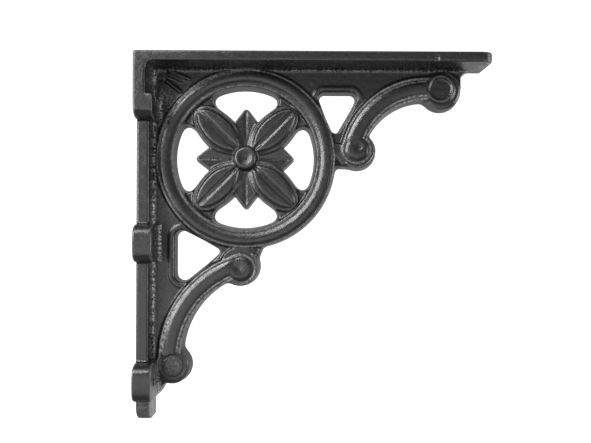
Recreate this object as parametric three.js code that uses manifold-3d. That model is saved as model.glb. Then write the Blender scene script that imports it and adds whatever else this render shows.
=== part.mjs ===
// Cast iron wall bracket: one open-work casting with a wall plate, a shelf plate and a carved web.
// X runs out from the wall, Y runs from the carved side to the flat back, Z is up. Millimetres.
// The origin lies on the wall face of the wall plate, at half of the bracket's height.
import * as THREE from 'three';
import { mergeVertices } from 'three/addons/utils/BufferGeometryUtils.js';
import { ParametricGeometry } from 'three/addons/geometries/ParametricGeometry.js';
import Module from 'manifold-3d';

// Overall size, and the heights of the relief above the flat back of the casting.
const HEIGHT = 249;
const REACH = 239;
const TOP = HEIGHT / 2;
const BACK_Y = 11.5;
const WIDE = 35;
const NARROW = 23;
const WEB = 10;

// Wall plate, its three lugs and the shelf plate.
const WALL_THICK = 8.2;
const SHELF_THICK = 6.8;
const CORNER_BLOCK = 32;
const PLATE_CORNER_R = 8;
const LUG_DROPS = [31.5, 127.5, 220.7];
const LUG_HALF = 13;
const LUG_THICK = 12.8;
const TOP_PAD_RISE = 3;
const SCREW_R = 2.75;
const SCREW_HEIGHT = 24;

// Roundel: a moulded ring around a flower.
const ROUNDEL = { x: 72.8, drop: 68.8 };
const RING_OUT = 61.8;
const RING_IN = 49.3;
const RING_STEP = 52.4;
const RING_CREST = 15;
const PETAL = { middle: 25.5, halfLength: 22.8, halfWidth: 12, top: 14.2, rib: 15.6 };
const LEAF = { tip: 33.5, notch: 25.5, halfWidth: 7.8, ridge: 12.8, edge: 9 };
const BOSS_R = 7.8;
const BOSS_TOP = 18.6;
const OPENING = { apex: 17, cornerR: 5, cornerTurn: 24 };

// Rounded three-cornered holes in the web: centre and radius of each corner.
const UPPER_HOLE = [{ x: 127.3, drop: 26.5, r: 4.2 }, { x: 145.3, drop: 27, r: 4.7 },
  { x: 135.2, drop: 47.3, r: 3.6 }];
const LOWER_HOLE = [{ x: 28.9, drop: 124.2, r: 5.5 }, { x: 51.5, drop: 134, r: 3.5 },
  { x: 29.5, drop: 149.3, r: 6 }];

// C-scroll braces: an arc from a disc to a volute, with the bulge of its middle.
const UPPER = {
  disc: { x: 208.5, drop: 22.5, r: 14 }, volute: { x: 150.3, drop: 63.3, r: 12.2 },
  start: { x: 198, drop: 19.6 }, end: { x: 147.5, drop: 58 }, bulge: 10.6, turn: 1, lead: 150,
};
const LOWER = {
  disc: { x: 20.5, drop: 215.5, r: 13.5 }, volute: { x: 68.5, drop: 144, r: 13.5 },
  start: { x: 20.8, drop: 205 }, end: { x: 61, drop: 146 }, bulge: -10.2, turn: -1, lead: 110,
};
const BRACE_HALF = 7.8;
const BRACE_CREST = 15;
const SPIRAL_TURNS = 1.35;

// Flares where the web runs out into the shelf plate, the ring and the lowest lug.
const SHELF_FLARE = { x: 227, reach: 222, bend: 11, drop: 23 };
const NECK = { upper: { x: 134.5, drop: 75.5, end: [132.4, 85] }, lower: { x: 83, drop: 132, end: [90, 127.9] } };
const NECK_INSET = 9;
const LOW_EDGE = 226;

// Raised rays in the corner: start and end of each, with half its width.
const RAYS = [[19.5, 8.2, 33, 14], [19, 10.8, 28.5, 14.8], [17.5, 15.3, 27.2, 22.8]];
const RAY_HALF = 0.9;
const RAY_TOP = 11.6;

const IRON = new THREE.MeshStandardMaterial({ color: 0x37383a, roughness: 0.5, metalness: 0.8 });
const wasm = await Module();
wasm.setup();

/** A closed manifold solid from a three.js geometry: merged points, no slivers, faces pointing out. */
function solid(geometry) {
  const bare = geometry.clone();
  for (const name of Object.keys(bare.attributes)) {
    if (name !== 'position') bare.deleteAttribute(name);
  }
  const merged = mergeVertices(bare, 1e-4);
  const p = merged.attributes.position.array;
  const index = merged.index.array;
  const triangles = [];
  let volume = 0;
  for (let i = 0; i < index.length; i += 3) {
    const [a, b, c] = [index[i], index[i + 1], index[i + 2]];
    if (a === b || b === c || c === a) continue;
    triangles.push(a, b, c);
    const va = new THREE.Vector3().fromArray(p, 3 * a);
    const vb = new THREE.Vector3().fromArray(p, 3 * b);
    const vc = new THREE.Vector3().fromArray(p, 3 * c);
    volume += va.dot(vb.cross(vc));
  }
  const triVerts = new Uint32Array(triangles);
  if (volume < 0) triVerts.reverse();
  return new wasm.Manifold(new wasm.Mesh({ numProp: 3, vertProperties: new Float32Array(p), triVerts }));
}

/** Turns relief coordinates (x, level, height above the back) into the bracket's frame. */
const stand = (geometry) => solid(geometry.rotateX(Math.PI / 2).translate(0, BACK_Y, 0));

/** Level above the origin of a point given by its drop below the shelf face. */
const level = (drop) => TOP - drop;
const point = (place) => new THREE.Vector2(place.x, level(place.drop));

/** A flat shape in the plane of the web, raised from one height above the back to another. */
function slab(shape, low, high, curveSegments = 10) {
  const geometry = new THREE.ExtrudeGeometry(shape, { depth: high - low, bevelEnabled: false, curveSegments });
  return stand(geometry.translate(0, 0, low));
}

/** A turned form about an axis square to the back: profile points are [radius, height]. */
function turned(place, profile, segments) {
  const geometry = new THREE.LatheGeometry(profile.map(([r, h]) => new THREE.Vector2(r, h)), segments);
  return stand(geometry.rotateX(Math.PI / 2).translate(place.x, level(place.drop), 0));
}

/**
 * A moulding along a curve. At u along the curve, section(u) gives the half width and the closed
 * profile as [across, height] pairs, where across runs from -1 to 1 of the half width. The stations
 * crowd together at both ends, where the moulding closes to a point.
 */
function moulding(curve, steps, section) {
  const around = section(0.5).profile.length;
  const place = new THREE.Vector2();
  const geometry = new ParametricGeometry((s, v, target) => {
    const u = 0.5 - 0.5 * Math.cos(Math.PI * s);
    const { half, profile } = section(u);
    const [across, height] = profile[Math.round(v * around) % around];
    const along = curve.getTangent(u);
    curve.getPoint(u, place);
    if (s === 0 || s === 1) target.set(place.x, place.y, WEB - 1);
    else target.set(place.x - along.y * across * half, place.y + along.x * across * half, height);
  }, steps, around);
  return stand(geometry);
}

/** Zero at both ends of a moulding and full over its middle. */
const swell = (u, power) => Math.sqrt(Math.max(0, 1 - Math.abs(2 * u - 1) ** power));

/** Rounded outline around corner circles, taken in clockwise order as seen from the carved side. */
function roundedHole(corners) {
  const shape = new THREE.Shape();
  corners.forEach((corner, i) => {
    const before = corners[(i + corners.length - 1) % corners.length];
    const after = corners[(i + 1) % corners.length];
    const side = (a, b) => {
      const run = point(b).sub(point(a));
      return run.angle() + Math.PI / 2 + Math.asin((b.r - a.r) / run.length());
    };
    const c = point(corner);
    const [from, to] = [side(before, corner), side(corner, after)];
    const start = new THREE.Vector2(corner.r, 0).rotateAround(new THREE.Vector2(), from).add(c);
    if (i === 0) shape.moveTo(start.x, start.y);
    else shape.lineTo(start.x, start.y);
    shape.absarc(c.x, c.y, corner.r, from, to, true);
  });
  shape.closePath();
  return shape;
}

/** One opening of the roundel, turned about its centre: an apex, two round corners and the ring's arc. */
function roundelOpening(turn) {
  const centre = point(ROUNDEL);
  const reach = RING_IN - OPENING.cornerR;
  const spread = THREE.MathUtils.degToRad(OPENING.cornerTurn);
  const shape = new THREE.Shape();
  const apex = new THREE.Vector2(OPENING.apex, 0).rotateAround(new THREE.Vector2(), turn).add(centre);
  const corner = (sign) => new THREE.Vector2(reach, 0).rotateAround(new THREE.Vector2(), turn + sign * spread)
    .add(centre);
  const tangent = (sign) => {
    const run = corner(sign).sub(apex);
    return run.angle() + sign * (Math.PI / 2 + Math.asin(OPENING.cornerR / run.length()));
  };
  const low = corner(-1);
  const high = corner(1);
  shape.absarc(low.x, low.y, OPENING.cornerR, tangent(-1), turn - spread, false);
  shape.absarc(centre.x, centre.y, RING_IN, turn - spread, turn + spread, false);
  shape.absarc(high.x, high.y, OPENING.cornerR, turn + spread, tangent(1), false);
  shape.lineTo(apex.x, apex.y);
  shape.closePath();
  return shape;
}

/** The arc of a brace from its disc to its volute. */
function braceCurve(brace) {
  const [a, b] = [point(brace.start), point(brace.end)];
  const run = b.clone().sub(a);
  const half = run.length() / 2;
  const radius = (half * half + brace.bulge * brace.bulge) / (2 * Math.abs(brace.bulge));
  const side = new THREE.Vector2(-run.y, run.x).normalize().multiplyScalar(Math.sign(brace.bulge));
  const centre = a.clone().add(b).multiplyScalar(0.5).add(side.multiplyScalar(radius - Math.abs(brace.bulge)));
  const turnFrom = a.clone().sub(centre).angle();
  const turnTo = b.clone().sub(centre).angle();
  return new THREE.EllipseCurve(centre.x, centre.y, radius, radius, turnFrom, turnTo, brace.bulge < 0);
}

/** A flat spiral that closes in on a centre while it turns. */
class Spiral extends THREE.Curve {
  constructor(centre, outer, inner, lead, sweep) {
    super();
    Object.assign(this, { centre, outer, inner, lead, sweep });
  }

  getPoint(u, target = new THREE.Vector2()) {
    const r = THREE.MathUtils.lerp(this.outer, this.inner, u);
    const turn = this.lead + this.sweep * u;
    return target.set(this.centre.x + r * Math.cos(turn), this.centre.y + r * Math.sin(turn));
  }
}

const solids = [];

// Wall plate: a narrow strip in the plane of the wall, wide at the corner block, with a round near
// corner at its tail. Its outline is drawn with Y to the right and Z up.
const across = (height) => BACK_Y - height;
const plate = new THREE.Shape();
plate.moveTo(across(0), TOP);
plate.lineTo(across(WIDE), TOP);
plate.lineTo(across(WIDE), level(CORNER_BLOCK));
plate.lineTo(across(NARROW), level(CORNER_BLOCK));
plate.lineTo(across(NARROW), -TOP + PLATE_CORNER_R);
plate.absarc(across(NARROW - PLATE_CORNER_R), -TOP + PLATE_CORNER_R, PLATE_CORNER_R, Math.PI, 1.5 * Math.PI);
plate.lineTo(across(0), -TOP);
plate.closePath();

/** A shape drawn in the plane of the wall, made as thick as asked from the wall face outwards. */
function wallSlab(shape, thick) {
  const geometry = new THREE.ExtrudeGeometry(shape, { depth: thick, bevelEnabled: false, curveSegments: 10 });
  const axes = new THREE.Matrix4().makeBasis(new THREE.Vector3(0, 1, 0), new THREE.Vector3(0, 0, 1),
    new THREE.Vector3(1, 0, 0));
  return solid(geometry.applyMatrix4(axes));
}
solids.push(wallSlab(plate, WALL_THICK));

// Lugs: thicker pads across the wall plate with a half-round nose on the near side.
LUG_DROPS.forEach((drop, i) => {
  const z = level(drop);
  const rise = i === 0 ? TOP_PAD_RISE : LUG_HALF;
  const nose = WIDE - LUG_HALF;
  const lug = new THREE.Shape();
  lug.moveTo(across(0), z + rise);
  lug.lineTo(across(i === 0 ? WIDE : nose), z + rise);
  if (i === 0) lug.lineTo(across(WIDE), z);
  lug.absarc(across(nose), z, LUG_HALF, i === 0 ? Math.PI : 0.5 * Math.PI, 1.5 * Math.PI);
  lug.lineTo(across(0), z - LUG_HALF);
  lug.closePath();
  solids.push(wallSlab(lug, LUG_THICK));
});

// Shelf plate: full width, with a round near corner at its free end.
const shelf = new THREE.Shape();
shelf.moveTo(0, across(0));
shelf.lineTo(0, across(WIDE));
shelf.lineTo(REACH - PLATE_CORNER_R, across(WIDE));
shelf.absarc(REACH - PLATE_CORNER_R, across(WIDE - PLATE_CORNER_R), PLATE_CORNER_R, -0.5 * Math.PI, 0);
shelf.lineTo(REACH, across(0));
shelf.closePath();
const shelfGeometry = new THREE.ExtrudeGeometry(shelf,
  { depth: SHELF_THICK, bevelEnabled: false, curveSegments: 10 });
solids.push(solid(shelfGeometry.translate(0, 0, TOP - SHELF_THICK)));

// Web: the ground between the two plates, the roundel and the centre lines of the braces.
const web = new THREE.Shape();
const steps = 16;
const [upperEye, lowerEye] = [UPPER.volute, LOWER.volute];
web.moveTo(1, TOP - 1);
web.lineTo(SHELF_FLARE.x, TOP - 1);
web.lineTo(SHELF_FLARE.x, TOP - SHELF_THICK);
web.quadraticCurveTo(SHELF_FLARE.reach, level(SHELF_FLARE.bend), SHELF_FLARE.reach, level(SHELF_FLARE.drop));
web.lineTo(UPPER.disc.x, level(UPPER.disc.drop));
braceCurve(UPPER).getPoints(steps).forEach((p) => web.lineTo(p.x, p.y));
web.lineTo(upperEye.x, level(upperEye.drop));
web.lineTo(upperEye.x - NECK_INSET, level(upperEye.drop + upperEye.r - 1));
web.quadraticCurveTo(NECK.upper.x, level(NECK.upper.drop), NECK.upper.end[0], level(NECK.upper.end[1]));
web.lineTo(ROUNDEL.x, level(ROUNDEL.drop));
web.lineTo(NECK.lower.end[0], level(NECK.lower.end[1]));
web.quadraticCurveTo(NECK.lower.x, level(NECK.lower.drop), lowerEye.x + lowerEye.r, level(lowerEye.drop - 2));
web.lineTo(lowerEye.x, level(lowerEye.drop));
braceCurve(LOWER).getPoints(steps).reverse().forEach((p) => web.lineTo(p.x, p.y));
web.lineTo(LOWER.disc.x, level(LOWER.disc.drop));
web.lineTo(LOWER.disc.x, level(LOW_EDGE));
web.lineTo(1, level(LOW_EDGE));
web.closePath();
solids.push(slab(web, 0, WEB));

// Ring of the roundel: an inner step and a half-round band, closed on itself.
const ringMid = (RING_STEP + RING_OUT) / 2;
const ringHalf = (RING_OUT - RING_STEP) / 2;
const ringProfile = [[RING_IN, 0], [RING_IN, WEB], [RING_IN + 0.8, WEB + 1.2], [RING_STEP, WEB + 1.2]];
for (let i = 1; i < 7; i += 1) {
  const turn = Math.PI * (1 - i / 7);
  ringProfile.push([ringMid + ringHalf * Math.cos(turn), WEB + (RING_CREST - WEB) * Math.sin(turn)]);
}
ringProfile.push([RING_OUT, WEB - 1], [RING_OUT, 0], [RING_IN, 0]);
const ring = turned(ROUNDEL, ringProfile, 64);
const ringGround = turned(ROUNDEL, [[0, 0], [RING_STEP, 0], [RING_STEP, WEB], [0, WEB]], 64);

// Braces: half-round mouldings with a low step on the hollow side, a disc and a volute at the ends.
const rim = BRACE_CREST - WEB;
const braceProfile = [[-1, 0], [-1, WEB - 1], [-0.94, WEB + 0.3 * rim], [-0.72, WEB + 0.72 * rim],
  [-0.4, WEB + 0.95 * rim], [-0.1, BRACE_CREST], [0.22, WEB + 0.88 * rim], [0.5, WEB + 0.58 * rim],
  [0.66, WEB + 0.15 * rim], [0.94, WEB], [1, WEB - 1], [1, 0]];

function braceSolids(brace) {
  const made = [];
  const curve = braceCurve(brace);
  made.push(moulding(curve, 22, (u) => ({
    half: BRACE_HALF * swell(u, 40) * (1 + 0.1 * (2 * u - 1) ** 2),
    profile: braceProfile.map(([a, h]) => [a * brace.turn, h]),
  })));
  const d = brace.disc.r;
  made.push(turned(brace.disc, [[0, 0], [d, 0], [d, WEB - 0.5], [d - 0.6, WEB + 1.3], [d - 2.8, WEB + 1.6],
    [d - 4, WEB + 3], [d - 5, WEB + 4.3], [d - 5.8, WEB + 4], [d - 6.4, WEB + 2.6], [0, WEB + 2.6]], 32));
  const v = brace.volute.r;
  made.push(turned(brace.volute, [[0, 0], [v, 0], [v, WEB - 0.5], [v - 0.8, WEB + 1.2], [v - 2.4, WEB + 2],
    [0, WEB + 2]], 32));
  const lead = THREE.MathUtils.degToRad(brace.lead);
  const sweep = brace.turn * SPIRAL_TURNS * 2 * Math.PI;
  made.push(moulding(new Spiral(point(brace.volute), v - 3.2, 2.6, lead, sweep), 24, (u) => {
    const half = (2.3 - 0.9 * u) * swell(u, 12);
    const crest = WEB + 5 - 1.4 * u;
    return { half, profile: [[-1, WEB + 1], [-0.9, WEB + 2.6], [0, crest], [0.9, WEB + 2.6], [1, WEB + 1]] };
  }));
  made.push(turned(brace.volute, [[0, WEB], [2.6, WEB], [2.6, WEB + 3.2], [1.6, WEB + 4.4], [0, WEB + 4.8]], 12));
  return made;
}
const braces = [...braceSolids(UPPER), ...braceSolids(LOWER)];

// Flower: four petals on the diagonals, four pointed leaves on the axes and a domed boss.
const centre = point(ROUNDEL);
const ray = (turn, from, to) => {
  const out = new THREE.Vector2(Math.cos(turn), Math.sin(turn));
  return new THREE.LineCurve(centre.clone().addScaledVector(out, from), centre.clone().addScaledVector(out, to));
};
const petalProfile = (u) => {
  const raise = swell(u, 4);
  const h = (height) => WEB + (height - WEB) * raise;
  return [[-1, 0], [-1, h(WEB + 0.6)], [-0.88, h(WEB + 2.4)], [-0.5, h(PETAL.top)], [-0.16, h(PETAL.top)],
    [0, h(PETAL.rib)], [0.16, h(PETAL.top)], [0.5, h(PETAL.top)], [0.88, h(WEB + 2.4)], [1, h(WEB + 0.6)], [1, 0]];
};
const flower = [];
for (let quarter = 0; quarter < 4; quarter += 1) {
  const axis = quarter * Math.PI / 2;
  const diagonal = axis + Math.PI / 4;
  const [from, to] = [PETAL.middle - PETAL.halfLength, PETAL.middle + PETAL.halfLength];
  flower.push(moulding(ray(diagonal, from, to), 16, (u) => ({
    half: PETAL.halfWidth * swell(u, 2), profile: petalProfile(u),
  })));
  flower.push(moulding(ray(axis, 2, LEAF.tip), 12, (u) => {
    const r = THREE.MathUtils.lerp(2, LEAF.tip, u);
    const taper = Math.min(1, (LEAF.tip - r) / (LEAF.tip - LEAF.notch), u * 6);
    const ridge = LEAF.edge + (LEAF.ridge - LEAF.edge) * (0.3 + 0.7 * taper);
    const profile = [[-1, 0], [-1, LEAF.edge], [0, ridge], [1, LEAF.edge], [1, 0]];
    return { half: LEAF.halfWidth * taper, profile };
  }));
}
flower.push(turned(ROUNDEL, [[0, 0], [BOSS_R, 0], [BOSS_R, WEB + 2.5], [BOSS_R - 0.5, BOSS_TOP - 3.8],
  [BOSS_R - 1.8, BOSS_TOP - 1.8], [BOSS_R - 3.8, BOSS_TOP - 0.5], [0, BOSS_TOP]], 28));

// Rays: low ribs that fan out of the corner.
const rays = RAYS.map(([x0, d0, x1, d1]) => {
  const line = new THREE.LineCurve(point({ x: x0, drop: d0 }), point({ x: x1, drop: d1 }));
  return moulding(line, 6, (u) => ({
    half: RAY_HALF * swell(u, 6),
    profile: [[-1, WEB - 1], [-1, WEB + 0.4], [0, RAY_TOP], [1, WEB + 0.4], [1, WEB - 1]],
  }));
});

// Join the ground, cut the openings through it, then add the carving and drill the screw holes.
let casting = solids.reduce((whole, piece) => whole.add(piece)).add(ringGround);
const holes = [0, 1, 2, 3].map((quarter) => roundelOpening(quarter * Math.PI / 2));
holes.push(roundedHole(UPPER_HOLE), roundedHole(LOWER_HOLE));
for (const hole of holes) casting = casting.subtract(slab(hole, -2, WIDE, 8));
for (const piece of [ring, ...braces, ...flower, ...rays]) casting = casting.add(piece);
for (const drop of LUG_DROPS) {
  const drill = new THREE.CylinderGeometry(SCREW_R, SCREW_R, 4 * LUG_THICK, 20).rotateZ(Math.PI / 2);
  casting = casting.subtract(solid(drill.translate(0, across(SCREW_HEIGHT), level(drop))));
}

const made = casting.getMesh();
const geometry = new THREE.BufferGeometry();
geometry.setAttribute('position', new THREE.BufferAttribute(new Float32Array(made.vertProperties), 3));
geometry.setIndex(new THREE.BufferAttribute(new Uint32Array(made.triVerts), 1));
geometry.computeVertexNormals();

const bracket = new THREE.Mesh(geometry, IRON);
bracket.name = 'bracket_casting';
const group = new THREE.Group();
group.add(bracket);

export default group;
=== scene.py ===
import math

import bpy
import numpy as np
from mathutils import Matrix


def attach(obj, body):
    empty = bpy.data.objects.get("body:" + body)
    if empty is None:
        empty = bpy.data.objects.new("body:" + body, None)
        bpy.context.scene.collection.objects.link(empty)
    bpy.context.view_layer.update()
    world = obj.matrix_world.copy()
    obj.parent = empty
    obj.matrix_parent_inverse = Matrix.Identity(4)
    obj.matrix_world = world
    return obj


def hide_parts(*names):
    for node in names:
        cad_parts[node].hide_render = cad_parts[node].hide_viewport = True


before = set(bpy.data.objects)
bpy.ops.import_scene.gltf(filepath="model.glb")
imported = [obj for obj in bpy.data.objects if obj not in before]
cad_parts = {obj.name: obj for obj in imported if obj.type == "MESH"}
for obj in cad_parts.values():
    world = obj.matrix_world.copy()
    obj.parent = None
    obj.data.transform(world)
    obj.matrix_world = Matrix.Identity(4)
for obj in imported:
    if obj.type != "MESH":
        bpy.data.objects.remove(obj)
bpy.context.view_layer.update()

# Casting: the whole bracket is one pour of grey iron from a sand mould, so plates, lugs, web and
# carving are one skin. The sand leaves soft edges, deep fillets and a fine grain, and the iron is
# blacked and waxed. It is worked out as a field that is below zero in the iron, in millimetres.
STEP = 0.6
MARGIN = 2.4
FAR = 1e3
REACH = 239.0
TALL = 249.0
TOP = 124.5
BACK = 11.5
WIDE = 35.0
NARROW = 23.0
GROUND = 10.0

grid_x = np.arange(-MARGIN, REACH + MARGIN, STEP, dtype=np.float32)
grid_y = np.arange(BACK - WIDE - MARGIN, BACK + MARGIN, STEP, dtype=np.float32)
grid_z = np.arange(TOP - TALL - MARGIN, TOP + MARGIN, STEP, dtype=np.float32)
out, drop = np.meshgrid(grid_x, TOP - grid_z, indexing="ij")


def soft_min(a, b, blend):
    """The smaller of two fields, with the corner between them filled by a parabola of width blend."""
    share = np.clip(0.5 + 0.5 * (b - a) / blend, 0.0, 1.0)
    return b + (a - b) * share - blend * share * (1.0 - share)


def soft_max(a, b, blend):
    """The larger of two fields, with the edge between them rounded over a width of blend."""
    return -soft_min(-a, -b, blend)


def half_round(distance, half_width):
    """One on the crest, falling as a half circle to zero at half_width on either side."""
    return np.sqrt(np.clip(1.0 - (distance / half_width) ** 2, 0.0, 1.0))


def fade(value, start, end):
    """Zero before start and one after end, with the smooth step 3t^2 - 2t^3 between them."""
    t = np.clip((value - start) / (end - start), 0.0, 1.0)
    return t * t * (3.0 - 2.0 * t)


def from_line(x0, drop0, x1, drop1):
    """Distance in the plane of the web from a straight line between two points."""
    run_x, run_d = x1 - x0, drop1 - drop0
    t = ((out - x0) * run_x + (drop - drop0) * run_d) / (run_x ** 2 + run_d ** 2)
    t = np.clip(t, 0.0, 1.0)
    return np.hypot(out - x0 - t * run_x, drop - drop0 - t * run_d)


def round_hull(corners, directions=120):
    """Signed distance to the hull of circles (x, drop, radius): over all directions n, the largest of
    p.n less the hull's own reach along n."""
    gap = np.full_like(out, -FAR)
    for turn in np.linspace(0.0, 2.0 * math.pi, directions, endpoint=False):
        c, s = math.cos(turn), math.sin(turn)
        reach = max(x * c + d * s + r for x, d, r in corners)
        gap = np.maximum(gap, out * c + drop * s - reach)
    return gap


def inside_polygon(points):
    """True inside a closed outline, by counting the sides that a line to the right crosses."""
    odd = np.zeros(out.shape, bool)
    for (x0, d0), (x1, d1) in zip(points, points[1:] + points[:1]):
        if d0 != d1:
            crosses = (d0 > drop) != (d1 > drop)
            odd ^= crosses & (out < x0 + (drop - d0) * (x1 - x0) / (d1 - d0))
    return odd


# Roundel: a ring with a low flat-topped band between an inner lip and a fine outer bead.
CENTRE_X, CENTRE_DROP = 72.8, 68.8
RING_OUT, RING_IN = 62.2, 49.4
RING_SPILL_OUT, RING_SPILL_IN = 0.6, 0.5
RING_RADII = (48.4, 49.5, 50.5, 51.6, 52.9, 54.4, 56.0, 58.2, 59.8, 60.4, 61.2, 62.0, 62.8)
RING_HEIGHTS = (10.8, 12.4, 12.7, 12.2, 12.9, 13.6, 13.9, 13.8, 13.1, 12.5, 13.1, 12.4, 10.2)
from_centre = np.hypot(out - CENTRE_X, drop - CENTRE_DROP)
ring_height = np.interp(from_centre, RING_RADII, RING_HEIGHTS)
in_ring = (from_centre > RING_IN - RING_SPILL_IN) & (from_centre < RING_OUT + RING_SPILL_OUT)

# Flower: four petals with a bead round the edge, two low lobes and a thin rib, four hollow leaves
# with a groove, and a round boss with a dished top. Four openings lie between flower and ring.
PETAL_MIDDLE, PETAL_HALF, PETAL_WIDE = 25.8, 22.4, 12.0
PETAL_POWER_IN, PETAL_POWER_OUT = 1.8, 0.85
PETAL_FOOT, CROWN_HIGH = 11.2, 0.9
PETAL_BEAD, PETAL_BEAD_IN, PETAL_BEAD_HALF, PETAL_BEAD_FROM = 0.8, 0.9, 0.8, (11.0, 20.0)
LOBE_HIGH, LOBE_RISE, LOBE_PART = 1.7, (1.7, 4.4), (0.5, 1.8)
RIB_HIGH, RIB_HALF, RIB_FROM = 2.0, 0.95, (8.0, 15.0)
LEAST_WIDE, LEAST_SWELL = 1e-3, 0.02
LEAF_TIPS, LEAF_NOTCH, LEAF_WIDE = (33.4, 35.4, 35.4, 35.4), 25.2, 7.9
LEAF_BLUNT, LEAF_SOFT = 0.8, 1.6
LEAF_LEVEL, LEAF_RISE = 10.8, 0.35
GROOVE_DEEP, GROOVE_HALF, GROOVE_FROM = 0.5, 0.7, (10.0, 20.0)
LEAF_BEAD, LEAF_BEAD_IN, LEAF_BEAD_HALF = 0.3, 0.9, 0.8
BOSS_RADII = (0.0, 1.6, 3.2, 4.6, 5.7, 6.5, 7.3, 8.0, 8.5)
BOSS_HEIGHTS = (15.6, 15.7, 16.1, 16.6, 16.9, 16.8, 16.2, 14.6, 12.0)
OPENING_APEX, OPENING_LEAN, OPENING_SOFT = 16.3, math.radians(47.2), 8.5
OPENING_SHIFT = -0.9
flower_edge = np.full_like(out, FAR)
flower_height = np.zeros_like(out)
openings = np.full_like(out, FAR)
opening_reach = np.hypot(out - CENTRE_X - OPENING_SHIFT, drop - CENTRE_DROP) - RING_IN


def turned_to(turn):
    """Distance out from the middle of the flower along a direction, and across it."""
    dx, dd = out - CENTRE_X, drop - CENTRE_DROP
    c, s = math.cos(turn), math.sin(turn)
    return dx * c + dd * s, dd * c - dx * s


for quarter in range(4):
    along, across = turned_to((quarter + 0.5) * math.pi / 2)
    swell = half_round(along - PETAL_MIDDLE, PETAL_HALF)
    power = np.where(along < PETAL_MIDDLE, PETAL_POWER_IN, PETAL_POWER_OUT)
    half = np.maximum(PETAL_WIDE * swell ** power, LEAST_WIDE)
    taper = power * half * (along - PETAL_MIDDLE) / (PETAL_HALF * np.maximum(swell, LEAST_SWELL)) ** 2
    inward = (half - np.abs(across)) / np.hypot(1.0, taper)
    bead = PETAL_BEAD * half_round(inward - PETAL_BEAD_IN, PETAL_BEAD_HALF) * fade(along, *PETAL_BEAD_FROM)
    lobe = LOBE_HIGH * fade(inward, *LOBE_RISE) * fade(np.abs(across), *LOBE_PART)
    crown = CROWN_HIGH * half_round(2.0 * np.abs(across) / half - 1.0, 1.0)
    rib = RIB_HIGH * half_round(across, RIB_HALF) * fade(along, *RIB_FROM)
    petal = PETAL_FOOT + bead + lobe + swell * (crown + rib)
    past = np.abs(along - PETAL_MIDDLE) - PETAL_HALF
    flower_height = np.maximum(flower_height, np.where((inward > 0.0) & (past < 0.0), petal, 0.0))
    flower_edge = np.minimum(flower_edge, np.where(past < 0.0, -inward, np.hypot(across, past)))

    along, across = turned_to(quarter * math.pi / 2)
    tip = LEAF_TIPS[quarter]
    rise, run = tip - LEAF_NOTCH, LEAF_WIDE
    leaf_side = ((along - tip) * run + np.abs(across) * rise) / math.hypot(rise, run)
    leaf_side = np.maximum(soft_max(leaf_side, along - tip + LEAF_BLUNT, LEAF_SOFT), -along)
    leaf_side = np.maximum(leaf_side, np.abs(across) - LEAF_WIDE)
    groove = GROOVE_DEEP * np.exp(-(across / GROOVE_HALF) ** 2) * fade(along, *GROOVE_FROM)
    hollow = LEAF_LEVEL + LEAF_RISE * np.abs(across) / LEAF_WIDE - groove
    hollow += LEAF_BEAD * half_round(leaf_side + LEAF_BEAD_IN, LEAF_BEAD_HALF)
    flower_height = np.maximum(flower_height, np.where(leaf_side < 0.0, hollow, 0.0))
    flower_edge = np.minimum(flower_edge, leaf_side)

    wedge = np.abs(across) * math.cos(OPENING_LEAN) - (along - OPENING_APEX) * math.sin(OPENING_LEAN)
    openings = np.minimum(openings, soft_max(wedge, opening_reach, OPENING_SOFT))

boss = np.interp(from_centre, BOSS_RADII, BOSS_HEIGHTS) * (from_centre < BOSS_RADII[-1])

# Braces: two C-scrolls, each an arc of moulding from a dished disc to a volute with a hollow eye. An
# arc has its middle, radius and end directions in the plane of the web, and sinks into the volute
# between the "join" directions. The moulding winds on round the "whorl". An eye is x, drop, size, depth.
BRACES = (
    {"mid": (198.3, 72.4), "radius": 52.8, "ends": (-170.0, -84.0), "join": (-172.0, -160.0),
     "disc": (209.0, 21.1, 13.0), "dish": (207.5, 20.3), "volute": (150.7, 63.3, 12.3),
     "dish_radii": (0.0, 7.1, 8.2, 9.4, 10.8, 11.6, 12.4, 13.4),
     "dish_heights": (12.4, 12.4, 13.7, 13.5, 11.8, 11.8, 12.5, 11.2),
     "whorl": (149.9, 62.2, 9.6), "eye": (151.4, 60.4, 2.6, 1.2)},
    {"mid": (88.3, 207.8), "radius": 67.9, "ends": (-186.0, -104.0), "join": (-103.0, -113.0),
     "disc": (22.2, 213.4, 12.3), "dish": (23.2, 212.8), "volute": (68.9, 144.0, 13.4),
     "dish_radii": (0.0, 4.0, 7.2, 8.0, 8.9, 9.8, 10.9, 12.6),
     "dish_heights": (13.3, 13.2, 12.9, 11.9, 13.3, 12.4, 12.8, 11.4),
     "whorl": (70.0, 145.5, 9.8), "eye": (67.4, 143.6, 4.9, 1.3)},
)
DISH_RIM = 3
BRACE_HALF, BRACE_SPILL = 8.0, 0.3
BRACE_ACROSS = (-8.2, -7.4, -6.5, -5.5, -4.8, -4.2, -2.2, 0.4, 2.2, 3.6, 4.9, 5.5, 6.5, 7.2, 8.2)
BRACE_HEIGHTS = (11.2, 13.2, 12.4, 13.4, 12.8, 13.5, 13.9, 14.1, 14.0, 13.6, 12.8, 12.5, 13.3, 12.7, 10.6)
VOLUTE_BASE = 12.4
BEAD_AT, CREST_AT, WHORL_SOFT = 6.4, 0.4, 0.8
BORDER_HIGH, BORDER_AT, BORDER_HALF = 0.8, 0.93, 0.07
brace_edge = np.full_like(out, FAR)
brace_height = np.zeros_like(out)
end_edge = np.full_like(out, FAR)


def direction(dx, dd):
    """Direction of a step in the plane of the web, in degrees from -270 to 90."""
    turn = np.degrees(np.arctan2(dd, dx))
    return np.where(turn > 90.0, turn - 360.0, turn)


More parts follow.
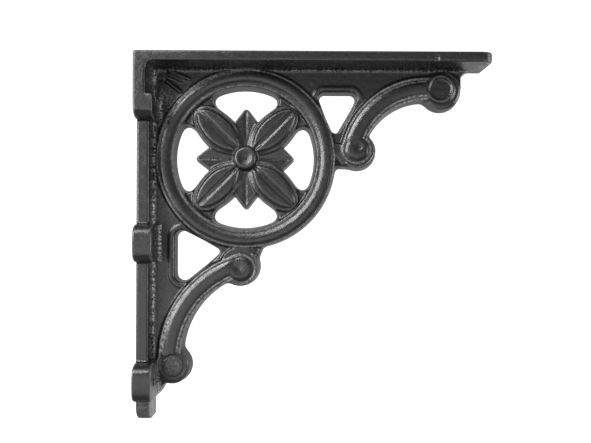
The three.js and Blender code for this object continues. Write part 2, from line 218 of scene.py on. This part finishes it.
for brace in BRACES:
    dx, dd = out - brace["mid"][0], drop - brace["mid"][1]
    across = np.hypot(dx, dd) - brace["radius"]
    turn = direction(dx, dd)
    low, high = brace["ends"]
    past = np.radians(np.maximum(low - turn, turn - high)) * brace["radius"]
    edge = np.maximum(np.abs(across) - BRACE_HALF, past)
    brace_edge = np.minimum(brace_edge, edge)
    moulding = np.interp(across, BRACE_ACROSS, BRACE_HEIGHTS) - VOLUTE_BASE
    moulding = VOLUTE_BASE + moulding * fade(turn, *brace["join"])
    moulding = np.where(edge < BRACE_SPILL, moulding, 0.0)

    x, d, r = brace["whorl"]
    wound = np.maximum(np.hypot(out - x, drop - d) - r + BEAD_AT, CREST_AT)
    dome = np.interp(wound, BRACE_ACROSS, BRACE_HEIGHTS)
    x, d, r = brace["volute"]
    away = np.hypot(out - x, drop - d)
    border = BORDER_HIGH * half_round(away - BORDER_AT * r, BORDER_HALF * r)
    border = VOLUTE_BASE + border * (out - x + drop - d > 0.0)
    whorl = np.where(away < r + BRACE_SPILL, np.maximum(border, dome), 0.0)
    moulding = soft_max(moulding, whorl, WHORL_SOFT)
    x, d, size, depth = brace["eye"]
    moulding -= depth * np.exp(-(np.hypot(out - x, drop - d) / size) ** 2)
    end_edge = np.minimum(end_edge, away - r)

    x, d, r = brace["disc"]
    away = np.hypot(out - x, drop - d)
    end_edge = np.minimum(end_edge, away - r)
    x, d = brace["dish"]
    turned = np.hypot(out - x, drop - d)
    dish = np.interp(turned, brace["dish_radii"], brace["dish_heights"])
    around = np.where(turned < brace["dish_radii"][DISH_RIM], dish, np.maximum(dish, moulding))
    brace_height = np.maximum(brace_height, np.where(away < r + BRACE_SPILL, around, moulding))

# Web: the ground between the plates, the ring and the centre lines of the braces, with rounded
# three-cornered holes beside low lips, necks where the volutes touch the ring, and rays in the corner.
UPPER_HOLE = ((127.3, 26.5, 4.2), (145.3, 27.0, 4.7), (135.2, 47.3, 3.6))
LOWER_HOLE = ((28.9, 124.2, 5.5), (51.5, 134.0, 3.5), (29.5, 149.3, 6.0))
HOLE_WORN, HOLE_WORN_TO = 1.2, (-0.5, 1.6)
NECKS = (((133.0, 60.0, 3.0), (141.0, 70.6, 3.6), (148.0, 66.0, 6.0)),
         ((79.0, 134.0, 3.6), (64.0, 138.0, 4.0), (72.0, 128.0, 4.0)))
NECK_HIGH, NECK_SLOPE = 2.2, (-2.0, 1.0)
LIP_WIDE, LIP_SLOPE, LIP_HIGH = 3.3, 1.2, 0.65
LIP_DROPS, LIP_OUTS, LIP_LOWEST = (24.0, 30.0), (26.0, 33.0), 160.0
RAYS = ((19.5, 8.2, 33.0, 14.0), (19.0, 10.8, 28.5, 14.8), (17.5, 15.3, 27.2, 22.8))
RAY_HIGH, RAY_HALF = 1.8, 1.1
UNDER_SHELF = [(1.0, 1.0), (226.5, 1.0), (226.0, 6.4), (222.6, 10.5), (221.6, 18.0)]
BESIDE_TAIL = [(17.0, 225.0), (14.2, 230.5), (11.0, 234.0), (1.0, 234.0)]
ROUNDEL_SUNK = 0.6
SCROLL_BLEND, RING_BLEND, FLOWER_BLEND = 3.0, 6.0, 0.8


def arc_points(brace, count=24):
    """Points along the centre line of a brace, evenly spread between its two end directions."""
    turn = np.radians(np.linspace(*brace["ends"], count))
    return list(zip(brace["mid"][0] + brace["radius"] * np.cos(turn),
                    brace["mid"][1] + brace["radius"] * np.sin(turn)))


upper, lower = BRACES
ground_outline = UNDER_SHELF + [upper["disc"][:2]]
ground_outline += arc_points(upper)[::-1] + [upper["volute"][:2], (CENTRE_X, CENTRE_DROP)]
ground_outline += [lower["volute"][:2]] + arc_points(lower)[::-1] + [lower["disc"][:2]]
ground_outline += BESIDE_TAIL
from_outline = np.full_like(out, FAR)
for (x0, d0), (x1, d1) in zip(ground_outline, ground_outline[1:] + ground_outline[:1]):
    from_outline = np.minimum(from_outline, from_line(x0, d0, x1, d1))
sheet = np.where(inside_polygon(ground_outline), -from_outline, from_outline)
edge = soft_min(soft_min(sheet, brace_edge, SCROLL_BLEND), end_edge, SCROLL_BLEND)
necks = np.minimum(*(round_hull(neck) for neck in NECKS))
edge = soft_min(edge, necks, SCROLL_BLEND)
edge = soft_min(edge, from_centre - RING_OUT, RING_BLEND)
holes = np.minimum(round_hull(UPPER_HOLE), round_hull(LOWER_HOLE))
edge = np.maximum(edge, -np.minimum(holes, openings))
edge = soft_min(edge, flower_edge, FLOWER_BLEND)

relief = np.full_like(out, GROUND)
lip_left = (1.0 - fade(out, *LIP_OUTS)) * (drop < LIP_LOWEST)
lip_side = np.maximum(1.0 - fade(drop, *LIP_DROPS), lip_left)
relief += LIP_HIGH * lip_side * (1.0 - fade(holes, LIP_WIDE, LIP_WIDE + LIP_SLOPE))
relief -= HOLE_WORN * (1.0 - fade(holes, *HOLE_WORN_TO))
relief = np.where(from_centre < RING_IN, GROUND - ROUNDEL_SUNK, relief)
relief += NECK_HIGH * (1.0 - fade(necks, *NECK_SLOPE))
relief = np.maximum(relief, brace_height)
relief = np.where(in_ring, np.maximum(ring_height, relief * (from_centre > RING_OUT)), relief)
relief = np.maximum(np.maximum(relief, flower_height), boss)
for ray in RAYS:
    relief = np.maximum(relief, GROUND + RAY_HIGH * half_round(from_line(*ray), RAY_HALF))

SOFTEN = np.array((0.22, 0.56, 0.22), np.float32)
for axis in range(2):
    padded = np.pad(relief, [(1, 1) if a == axis else (0, 0) for a in range(2)], mode="edge")
    relief = sum(w * np.take(padded, np.arange(i, i + relief.shape[axis]), axis)
                 for i, w in enumerate(SOFTEN))
steep = np.hypot(*np.gradient(relief, STEP))
lean = 1.0 / np.sqrt(1.0 + steep ** 2)

# Plates and lugs: the wall plate with three screw lugs and a tail, and the shelf plate, stand around
# the web. The lugs' noses are squarish rounds, and the top lug runs up into the corner block.
WALL_THICK, SHELF_THICK, CORNER_BLOCK = 8.4, 6.8, 33.0
SHELF_CORNER, TAIL_CORNER, INNER_CORNER = 8.0, 12.0, 5.0
SHELF_END = 238.2
TAIL_DROP, TAIL_EXTRA, TAIL_RUN = 234.0, 1.2, 3.0
DRAFT = 1.2
LUG_DROPS = (31.5, 127.5, 220.7)
LUG_HALF, LUG_THICK, LUG_BLEND, LUG_RISE = 13.0, 12.8, 1.4, 3.0
SCREW_R, SCREW_HEIGHT = 2.75, 24.0
EDGE_SOFT, HOLE_SOFT, FILLET = 1.3, 0.6, 2.2
PITS = ((200.4, 35.4, 4.6, 1.7), (13.2, 10.6, 14.5, 1.3),
        (16.6, 10.4, 14.9, 1.0), (117.5, 10.6, 17.5, 0.8))
along_x = grid_x[:, None, None]
up = (BACK - grid_y)[None, :, None]
down = (TOP - grid_z)[None, None, :]


def round_corner(a, b, radius):
    """Field of a square corner with both distances a and b measured inwards from its faces, rounded by
    a quarter circle: past both centre lines it is the distance from the arc, else the nearer face."""
    arc = np.hypot(radius - a, radius - b) - radius
    return np.where((a < radius) & (b < radius), arc, np.maximum(-a, -b))


side = edge[:, None, :] - DRAFT * np.clip(1.0 - up / GROUND, 0.0, 1.0)
iron = soft_max(side, (up - relief[:, None, :]) * lean[:, None, :], EDGE_SOFT)
shelf = down - SHELF_THICK + 0.0 * (along_x + up)
tail_step = TAIL_EXTRA * fade(down, TAIL_DROP - TAIL_RUN, TAIL_DROP)
strip = np.minimum(up - NARROW, down - CORNER_BLOCK)
strip = soft_max(strip, along_x - WALL_THICK - tail_step, EDGE_SOFT)
iron = soft_min(iron, soft_min(shelf, strip, INNER_CORNER), FILLET)
for lug_drop in LUG_DROPS:
    forward = np.maximum(up - (WIDE - LUG_HALF), 0.0)
    nose = np.cbrt(np.abs(down - lug_drop) ** 3 + forward ** 3) - LUG_HALF
    if lug_drop == LUG_DROPS[0]:
        nose = np.where(down < lug_drop, lug_drop - LUG_RISE - down, nose)
    pad = soft_max(nose, along_x - LUG_THICK, EDGE_SOFT)
    iron = soft_min(iron, pad, LUG_BLEND)
free_end = round_corner(SHELF_END - along_x, WIDE - up, SHELF_CORNER)
tail_end = round_corner(TALL - down, NARROW - up, TAIL_CORNER)
tail_end = np.where(down > TALL - TAIL_CORNER, tail_end, -TAIL_CORNER)
for face in (free_end, tail_end, -along_x, -down, -up, along_x - SHELF_END, down - TALL, up - WIDE):
    iron = soft_max(iron, face, EDGE_SOFT)
for lug_drop in LUG_DROPS:
    bore = np.hypot(down - lug_drop, up - SCREW_HEIGHT) - SCREW_R
    iron = soft_max(iron, -bore + np.zeros_like(along_x), HOLE_SOFT)
for x, rise, fall, radius in PITS:
    pit = np.sqrt((along_x - x) ** 2 + (up - rise) ** 2 + (down - fall) ** 2) - radius
    iron = soft_max(iron, -pit, HOLE_SOFT)


def skin(field, origin, step):
    """Net over the zero level of a field on a grid. Each cell that the surface crosses gets one point,
    at the mean of the crossings on its twelve edges, and each grid edge whose ends differ in sign gets
    one four-sided face through the four cells around it."""
    inside = field < 0
    nx, ny, nz = (n - 1 for n in field.shape)
    corners = [(a, b, c) for a in (0, 1) for b in (0, 1) for c in (0, 1)]
    count = sum(inside[a:a + nx, b:b + ny, c:c + nz].astype(np.int8) for a, b, c in corners)
    i, j, k = np.nonzero((count > 0) & (count < 8))
    value = [field[i + a, j + b, k + c] for a, b, c in corners]
    total = np.zeros((len(i), 3), np.float32)
    hits = np.zeros((len(i), 1), np.float32)
    for p in range(8):
        for q in range(p + 1, 8):
            way = np.subtract(corners[q], corners[p])
            if np.abs(way).sum() == 1:
                cut = ((value[p] < 0) != (value[q] < 0))[:, None]
                share = np.where(cut[:, 0], value[p] / np.where(cut[:, 0], value[p] - value[q], 1), 0)
                total += cut * (np.array(corners[p], np.float32) + share[:, None] * way)
                hits += cut
    points = (np.stack((i, j, k), 1) + total / hits) * step + origin
    number = np.full((nx, ny, nz), -1, np.int32)
    number[i, j, k] = np.arange(len(i))
    quads = []
    for axis in range(3):
        first = np.take(inside, np.arange(field.shape[axis] - 1), axis)
        second = np.take(inside, np.arange(1, field.shape[axis]), axis)
        for sign, change in ((1, first & ~second), (-1, ~first & second)):
            at = np.stack(np.nonzero(change), 1)
            b, c = (axis + 1) % 3, (axis + 2) % 3
            ring = []
            for step_b, step_c in ((-1, -1), (0, -1), (0, 0), (-1, 0))[::sign]:
                cell = at.copy()
                cell[:, b] += step_b
                cell[:, c] += step_c
                ring.append(number[cell[:, 0], cell[:, 1], cell[:, 2]])
            quads.append(np.stack(ring, 1))
    return points, np.concatenate(quads)


MILLIMETRE = 0.001
TRIANGLES = 190000
points, quads = skin(iron, np.array((grid_x[0], grid_y[0], grid_z[0])), STEP)
raw = bpy.data.meshes.new("bracket_raw")
raw.vertices.add(len(points))
raw.vertices.foreach_set("co", (points * MILLIMETRE).astype(np.float32).ravel())
raw.loops.add(quads.size)
raw.loops.foreach_set("vertex_index", quads.astype(np.int32).ravel())
raw.polygons.add(len(quads))
raw.polygons.foreach_set("loop_start", np.arange(0, quads.size, 4, dtype=np.int32))
raw.polygons.foreach_set("use_smooth", np.ones(len(quads), bool))
raw.update(calc_edges=True)
bracket = bpy.data.objects.new("bracket_iron", raw)
bpy.context.collection.objects.link(bracket)
thin = bracket.modifiers.new("thin", "DECIMATE")
thin.ratio = min(1.0, TRIANGLES / (2 * len(quads)))
flatten = bracket.modifiers.new("flatten", "WEIGHTED_NORMAL")
flatten.mode = "FACE_AREA"
thinned = bpy.data.meshes.new_from_object(bracket.evaluated_get(bpy.context.evaluated_depsgraph_get()))
bracket.modifiers.clear()
bracket.data = thinned
bpy.data.meshes.remove(raw)
thinned.name = "bracket_iron"


def paint(name, values):
    """Stores one value for each point of the skin under a name that the material reads."""
    layer = thinned.attributes.new(name, "FLOAT", "POINT")
    layer.data.foreach_set("value", values.astype(np.float32))


# Crest: how far the skin bulges or hollows at each point. It is the mean over the point's edges of
# the change of the normal along the edge, over the edge's length, evened out with its neighbours. It
# is left out at the corners of long flat triangles, where it would run over the whole flat.
CREST_GAIN, CREST_PASSES = 0.8, 2
SHORTEST = 1e-5
LONG_EDGE = (4.0, 9.0)
count = len(thinned.vertices)
spots = np.empty(3 * count, np.float32)
thinned.vertices.foreach_get("co", spots)
spots = spots.reshape(-1, 3)
normals = np.empty(3 * count, np.float32)
thinned.vertex_normals.foreach_get("vector", normals)
normals = normals.reshape(-1, 3)
pairs = np.empty(2 * len(thinned.edges), np.int32)
thinned.edges.foreach_get("vertices", pairs)
first, second = pairs.reshape(-1, 2).T
way = spots[second] - spots[first]
length = np.maximum(np.linalg.norm(way, axis=1), SHORTEST)
bend = np.einsum("ij,ij->i", normals[second] - normals[first], way) / length ** 2 * MILLIMETRE
neighbours = np.bincount(pairs, minlength=count)
crest = (np.bincount(first, bend, count) + np.bincount(second, bend, count)) / neighbours
for smoothing in range(CREST_PASSES):
    around = np.bincount(first, crest[second], count) + np.bincount(second, crest[first], count)
    crest = 0.5 * crest + 0.5 * around / neighbours
longest = np.zeros(count, np.float32)
np.maximum.at(longest, first, length)
np.maximum.at(longest, second, length)
crest *= 1.0 - fade(longest / MILLIMETRE, *LONG_EDGE)
paint("crest", np.clip(0.5 + CREST_GAIN * crest, 0.0, 1.0))

# Seam grit and highlights: grit along the foot of the plates and lugs, where rough sand grains are left in
# the fillet, made light enough to be a painted highlight standing for their glints, and some grit on the
# lower disc. On the shelf's free end and on one side of the lower brace the light patches are painted
# highlights.
SEAM_OFF, SEAM_HALF, SEAM_SHELF = 0.8, 1.0, 1.0
SEAM_TOP = (1.2, 3.2)
END_HIGHLIGHT, END_FROM, END_NEAR, END_UNDER = 0.4, (7.0, 2.0), 9.0, 1.0
SIDE_HIGHLIGHT, SIDE_AT, SIDE_HALF, SIDE_OUT = 0.8, 5.0, 1.4, 40.0
SIDE_START, SIDE_STOP = (160.0, 190.0), (201.0, 206.0)
DISC_GRIT, DISC_FLAT = 0.07, 7.2
wide = spots[:, 0] / MILLIMETRE
rise = BACK - spots[:, 1] / MILLIMETRE
fall = TOP - spots[:, 2] / MILLIMETRE
foot = np.full(count, WALL_THICK)
for lug_drop in LUG_DROPS:
    foot = np.where(np.abs(fall - lug_drop) < LUG_HALF, LUG_THICK, foot)
beside = np.minimum(np.abs(wide - foot - SEAM_OFF), np.abs(fall - SHELF_THICK - SEAM_OFF) + SEAM_SHELF)
# The fillet's grit is made light as a painted highlight for the glints on its grains.
grit_and_highlight = np.exp(-(beside / SEAM_HALF) ** 2) * (rise > 0.5 * GROUND)
grit_and_highlight *= 1.0 - fade(rise, GROUND + SEAM_TOP[0], GROUND + SEAM_TOP[1])
# A painted highlight on the shelf's free end, where its corner would catch the right-hand lamp.
end = fade(wide, REACH - END_FROM[0], REACH - END_FROM[1]) * (rise > WIDE - END_NEAR) * (fall > END_UNDER)
grit_and_highlight = np.maximum(grit_and_highlight, END_HIGHLIGHT * end)
# A painted highlight along the convex side of the lower brace, where the wall plate keeps the key light
# off.
off_line = np.hypot(wide - lower["mid"][0], fall - lower["mid"][1]) - lower["radius"]
brace_side_highlight = np.exp(-((off_line - SIDE_AT) / SIDE_HALF) ** 2)
brace_side_highlight *= fade(fall, *SIDE_START) * (1.0 - fade(fall, *SIDE_STOP))
grit_and_highlight = np.maximum(grit_and_highlight, SIDE_HIGHLIGHT * brace_side_highlight * (rise > GROUND) * (wide < SIDE_OUT))
on_disc = np.hypot(wide - lower["dish"][0], fall - lower["dish"][1]) < DISC_FLAT
grit_and_highlight = np.maximum(grit_and_highlight, DISC_GRIT * on_disc * (rise > GROUND))
paint("grit_and_highlight", grit_and_highlight)

# Worn and highlight: one along the beads of the braces, round the volutes and on the lips of the ring,
# partly where hands and cloths have rubbed the black off and partly a painted highlight on beads too fine
# for the mesh to catch the lamps, and a painted highlight in a band on the upper left of the ring, where
# the key light falls.
BEAD_LINES, RING_LINES, LINE_HALF = (-7.4, -5.4, 4.4, 6.5), (50.8, 61.2), 0.55
WHORL_LINE, WHORL_OVERLAP, BODY_HALF, DISH_CLEAR = 0.6, 1.0, 5.5, 10.5
RING_LINE = 0.5
BAND_HIGHLIGHT, BAND_AT, BAND_HALF, BAND_FROM = 0.7, 59.7, 1.1, (0.55, 0.95)
LINES_ABOVE = 1.0
worn_and_highlight = np.zeros(count)
for brace in BRACES:
    dx, dd = wide - brace["mid"][0], fall - brace["mid"][1]
    across = np.hypot(dx, dd) - brace["radius"]
    turn = direction(dx, dd)
    x, d, r = brace["whorl"]
    wound = np.hypot(wide - x, fall - d)
    clear = (turn > brace["ends"][0]) & (turn < brace["ends"][1]) & (wound > r - WHORL_OVERLAP)
    x, d = brace["dish"]
    clear &= np.hypot(wide - x, fall - d) > DISH_CLEAR
    # Lines along the beads: partly rubbed wear, partly a painted highlight on beads too fine to catch the
    # lamps.
    for line in BEAD_LINES:
        worn_and_highlight = np.maximum(worn_and_highlight, np.exp(-((across - line) / LINE_HALF) ** 2) * clear)
    on_body = (np.abs(across) < BODY_HALF) & clear
    worn_and_highlight = np.maximum(worn_and_highlight, WHORL_LINE * np.exp(-((wound - r) / LINE_HALF) ** 2) * ~on_body)
from_middle = np.hypot(wide - CENTRE_X, fall - CENTRE_DROP)
for line in RING_LINES:
    worn_and_highlight = np.maximum(worn_and_highlight, RING_LINE * np.exp(-((from_middle - line) / LINE_HALF) ** 2))
upper_left = (CENTRE_X - wide + CENTRE_DROP - fall) / (math.sqrt(2.0) * np.maximum(from_middle, 1.0))
# A painted highlight in a band on the upper left of the ring, the side that faces the key light.
highlight_band = np.exp(-((from_middle - BAND_AT) / BAND_HALF) ** 2) * fade(upper_left, *BAND_FROM)
worn_and_highlight = np.maximum(worn_and_highlight, BAND_HIGHLIGHT * highlight_band)
paint("worn_and_highlight", worn_and_highlight * (rise > GROUND + LINES_ABOVE))

# Bare and lit: up to one on the tail and on the inner side of the lowest lug, where faces turned to the
# right get a painted light as from the right-hand lamp and a band round the tail is scraped thin, and
# nowhere on the wall face or the back.
LIT_FACING, LIT_LUG, LIT_LUG_FROM = (0.3, 0.8), 0.5, (208.0, 212.0)
LIT_TAIL, LIT_TAIL_RUN = 0.5, 4.0
BARE_ROUND, BARE_ROUND_RUN = 0.25, 2.0
BARE_LIT_OUT, BARE_LIT_OFF = 30.0, 0.5
lit_inner_side = LIT_LUG * fade(fall, *LIT_LUG_FROM)
lit_inner_side += LIT_TAIL * fade(fall, TAIL_DROP - LIT_TAIL_RUN, TAIL_DROP)
# Painted light on faces turned to the right, as from the right-hand lamp.
bare_and_lit = fade(normals[:, 0], *LIT_FACING) * lit_inner_side
all_round = BARE_ROUND * fade(fall, TAIL_DROP - BARE_ROUND_RUN, TAIL_DROP + BARE_ROUND_RUN)
bare_and_lit = np.maximum(bare_and_lit, all_round) * (wide < BARE_LIT_OUT)
paint("bare_and_lit", bare_and_lit * ((wide > BARE_LIT_OFF) & (rise > BARE_LIT_OFF)))

# Blacked iron: nearly black and satin, lighter grey on the crests, partly rubbed wear and partly a painted
# highlight on thin edges, and darker in the hollows as painted shade, with the grain of the sand in it.
# Grit in the seams, worn lines and scraped places are laid over the black as lighter greys, together with
# painted highlights on the fine beads, the ring's upper left, the fillets, the shelf's free end and the
# lower brace's side, and painted light on faces turned to the right.
iron_skin = bpy.data.materials.new("blacked_iron")
iron_skin.use_nodes = True
tree = iron_skin.node_tree
principled = tree.nodes["Principled BSDF"]
principled.inputs["IOR"].default_value = 1.7
place = tree.nodes.new("ShaderNodeTexCoord").outputs["Object"]


def painted(name):
    """The value that was stored for the points of the skin under a name."""
    node = tree.nodes.new("ShaderNodeAttribute")
    node.attribute_name = name
    return node.outputs["Fac"]


def noise(scale, detail, rough=0.55):
    """A noise of the piece's own coordinates; scale is in waves per metre."""
    node = tree.nodes.new("ShaderNodeTexNoise")
    node.inputs["Scale"].default_value = scale
    node.inputs["Detail"].default_value = detail
    node.inputs["Roughness"].default_value = rough
    tree.links.new(place, node.inputs["Vector"])
    return node.outputs["Fac"]


def spread(value, start, end, low, high):
    """Maps the range start to end of a value onto low to high."""
    node = tree.nodes.new("ShaderNodeMapRange")
    node.inputs["From Min"].default_value = start
    node.inputs["From Max"].default_value = end
    node.inputs["To Min"].default_value = low
    node.inputs["To Max"].default_value = high
    tree.links.new(value, node.inputs["Value"])
    return node.outputs["Result"]


def worked(kind, first, second):
    """Two values added or multiplied over the surface."""
    node = tree.nodes.new("ShaderNodeMath")
    node.operation = kind
    tree.links.new(first, node.inputs[0])
    tree.links.new(second, node.inputs[1])
    return node.outputs["Value"]


def laid_over(under, where, broken_by, grey):
    """A grey laid over a colour by a painted value times a noise that breaks it up."""
    node = tree.nodes.new("ShaderNodeMix")
    node.data_type = "RGBA"
    tree.links.new(worked("MULTIPLY", painted(where), broken_by), node.inputs["Factor"])
    tree.links.new(under, node.inputs["A"])
    node.inputs["B"].default_value = (grey, grey, grey, 1.0)
    return node.outputs["Result"]


def bumped(height, strength, distance, under=None):
    """The normal turned by a height in metres, over an earlier bump where there is one."""
    node = tree.nodes.new("ShaderNodeBump")
    node.inputs["Strength"].default_value = strength
    node.inputs["Distance"].default_value = distance
    tree.links.new(height, node.inputs["Height"])
    if under:
        tree.links.new(under, node.inputs["Normal"])
    return node.outputs["Normal"]


# The crest value greys the crests, partly as rubbed wear and partly as a painted highlight on thin edges,
# and darkens the hollows as painted shade.
crest_wear_and_shade = painted("crest")
tint = tree.nodes.new("ShaderNodeValToRGB")
ramp = tint.color_ramp
ramp.elements[0].position = 0.3
ramp.elements[0].color = (0.011, 0.011, 0.0114, 1.0)
ramp.elements[1].position = 0.85
ramp.elements[1].color = (0.070, 0.070, 0.072, 1.0)
middle = ramp.elements.new(0.58)
middle.color = (0.0145, 0.0145, 0.0149, 1.0)
mottle = spread(noise(120.0, 6.0, 0.7), 0.3, 0.7, -0.1, 0.1)
tree.links.new(worked("ADD", crest_wear_and_shade, mottle), tint.inputs["Fac"])
specks = spread(noise(650.0, 2.0, 0.5), 0.45, 0.6, 0.0, 1.0)
# Lighter grey grit, with painted highlights on the fillets, the shelf's free end and the lower brace's
# side.
dusted_and_highlit = laid_over(tint.outputs["Color"], "grit_and_highlight", specks, 0.75)
flecks = spread(noise(600.0, 3.0, 0.6), 0.38, 0.62, 0.05, 1.0)
# Worn lines, with painted highlights on the fine beads and on the ring's upper left.
polished_and_highlit = laid_over(dusted_and_highlit, "worn_and_highlight", flecks, 0.34)
streaks = spread(noise(330.0, 4.0, 0.6), 0.35, 0.65, 0.3, 1.0)
# Scraped places, and painted light on faces turned to the right.
tree.links.new(laid_over(polished_and_highlit, "bare_and_lit", streaks, 0.33), principled.inputs["Base Color"])
dull = spread(crest_wear_and_shade, 0.3, 0.8, 0.27, 0.20)
patchy = spread(noise(220.0, 5.0), 0.3, 0.7, -0.06, 0.06)
tree.links.new(worked("ADD", dull, patchy), principled.inputs["Roughness"])
lumps = bumped(noise(260.0, 3.0, 0.5), 0.2, 0.001)
grain = bumped(noise(1100.0, 3.0, 0.6), 0.4, 0.0004, lumps)
tree.links.new(grain, principled.inputs["Normal"])
bracket.data.materials.append(iron_skin)
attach(bracket, "root")
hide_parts("bracket_casting")

# Floor: a wide sheet of white paper well below the bracket, bright enough to lose its horizon. It
# lights the bracket from behind only, and is not mirrored in the wax.
FLOOR_HALF, FLOOR_LEVEL = 6.0, -0.6
WHITE = 1.2
floor_mesh = bpy.data.meshes.new("floor")
floor_mesh.from_pydata([(-FLOOR_HALF, -FLOOR_HALF, FLOOR_LEVEL), (FLOOR_HALF, -FLOOR_HALF, FLOOR_LEVEL),
                        (FLOOR_HALF, FLOOR_HALF, FLOOR_LEVEL), (-FLOOR_HALF, FLOOR_HALF, FLOOR_LEVEL)],
                       [], [(0, 1, 2, 3)])
floor = bpy.data.objects.new("floor", floor_mesh)
bpy.context.collection.objects.link(floor)
paper = bpy.data.materials.new("white_paper")
paper.use_nodes = True
paper_tree = paper.node_tree
paper_shader = paper_tree.nodes["Principled BSDF"]
paper_shader.inputs["Base Color"].default_value = (0.9, 0.9, 0.9, 1.0)
paper_shader.inputs["Roughness"].default_value = 0.9
paper_shader.inputs["Emission Color"].default_value = (1.0, 1.0, 1.0, 1.0)


def smooth_step(nodes, value, start, end, low, high):
    """In a node tree, the smooth step of a value from low at start to high at end."""
    node = nodes.nodes.new("ShaderNodeMapRange")
    node.interpolation_type = "SMOOTHSTEP"
    node.inputs["From Min"].default_value = start
    node.inputs["From Max"].default_value = end
    node.inputs["To Min"].default_value = low
    node.inputs["To Max"].default_value = high
    nodes.links.new(value, node.inputs["Value"])
    return node.outputs["Result"]


paper_at = paper_tree.nodes.new("ShaderNodeTexCoord").outputs["Object"]
paper_place = paper_tree.nodes.new("ShaderNodeSeparateXYZ")
paper_tree.links.new(paper_at, paper_place.inputs["Vector"])
paper_light = smooth_step(paper_tree, paper_place.outputs["Y"], 0.0, 0.5, 0.0, WHITE)
paper_ray = paper_tree.nodes.new("ShaderNodeLightPath").outputs["Is Camera Ray"]
paper_seen = paper_tree.nodes.new("ShaderNodeMix")
paper_tree.links.new(paper_ray, paper_seen.inputs["Factor"])
paper_tree.links.new(paper_light, paper_seen.inputs["A"])
paper_seen.inputs["B"].default_value = WHITE
paper_tree.links.new(paper_seen.outputs["Result"], paper_shader.inputs["Emission Strength"])
floor_mesh.materials.append(paper)
floor.visible_glossy = False

# Light: a white surround that is half bright behind the bracket and dim on the camera's side, except
# for a glow just under eye level on the left. Three soft boxes stand in an arc in front, from low on
# the left to overhead, and one on the right lights the free end.
world = bpy.data.worlds.new("white_surround")
bpy.context.scene.world = world
world.use_nodes = True
sky = world.node_tree
background = sky.nodes["Background"]
facing = sky.nodes.new("ShaderNodeSeparateXYZ")
sky.links.new(sky.nodes.new("ShaderNodeTexCoord").outputs["Generated"], facing.inputs["Vector"])


def sky_product(first, second):
    """Product of two levels of the surround."""
    node = sky.nodes.new("ShaderNodeMath")
    node.operation = "MULTIPLY"
    sky.links.new(first, node.inputs[0])
    sky.links.new(second, node.inputs[1])
    return node.outputs["Value"]


glow = sky_product(smooth_step(sky, facing.outputs["Z"], -0.55, -0.25, 0.0, 1.0),
                   smooth_step(sky, facing.outputs["Z"], -0.15, 0.2, 1.0, 0.0))
glow = sky_product(glow, smooth_step(sky, facing.outputs["X"], 0.12, 0.5, 1.0, 0.0))
front = sky.nodes.new("ShaderNodeMix")
sky.links.new(glow, front.inputs["Factor"])
front.inputs["A"].default_value = 0.2
front.inputs["B"].default_value = 1.3
behind = sky.nodes.new("ShaderNodeMix")
sky.links.new(smooth_step(sky, facing.outputs["Y"], 0.45, 0.88, 0.0, 1.0), behind.inputs["Factor"])
sky.links.new(front.outputs["Result"], behind.inputs["A"])
behind.inputs["B"].default_value = 0.52
seen = sky.nodes.new("ShaderNodeMix")
sky.links.new(sky.nodes.new("ShaderNodeLightPath").outputs["Is Camera Ray"], seen.inputs["Factor"])
sky.links.new(behind.outputs["Result"], seen.inputs["A"])
seen.inputs["B"].default_value = WHITE
sky.links.new(seen.outputs["Result"], background.inputs["Strength"])
background.inputs["Color"].default_value = (1.0, 1.0, 1.0, 1.0)

AIM = (0.1, 0.0, 0.0)


def soft_box(name, place, size, power):
    """An area light of a width and height at a place, turned so that it faces the bracket."""
    data = bpy.data.lights.new(name, "AREA")
    data.shape = "RECTANGLE"
    data.size, data.size_y = size
    data.energy = power
    lamp = bpy.data.objects.new(name, data)
    lamp.location = place
    way = np.subtract(AIM, place)
    yaw = math.atan2(way[1], way[0]) - math.pi / 2
    tilt = math.atan2(way[2], math.hypot(way[0], way[1])) + math.pi / 2
    lamp.rotation_euler = (tilt, 0.0, yaw)
    bpy.context.collection.objects.link(lamp)


soft_box("key_left", (-0.84, -0.79, 0.26), (0.55, 0.65), 10.0)
soft_box("key_corner", (-0.48, -0.83, 0.74), (0.4, 0.4), 6.5)
soft_box("top_front", (0.03, -0.66, 1.06), (0.7, 0.6), 2.6)
soft_box("edge_right", (1.2, -0.2, 0.0), (0.6, 0.6), 5.0)

# Camera: level, square to the web, with its eye a little over the middle of the bracket's height.
FOCUS, IMAGE_WIDTH, SENSOR = 624.6, 591.0, 36.0
camera_data = bpy.data.cameras.new("camera")
camera_data.sensor_width = SENSOR
camera_data.lens = FOCUS / IMAGE_WIDTH * SENSOR
camera = bpy.data.objects.new("camera", camera_data)
camera.location = (0.10765, -0.433, 0.0121)
camera.rotation_euler = (math.radians(90.0), math.radians(-0.29), 0.0)
bpy.context.collection.objects.link(camera)
bpy.context.scene.camera = camera
bpy.context.scene.view_settings.view_transform = "Standard"
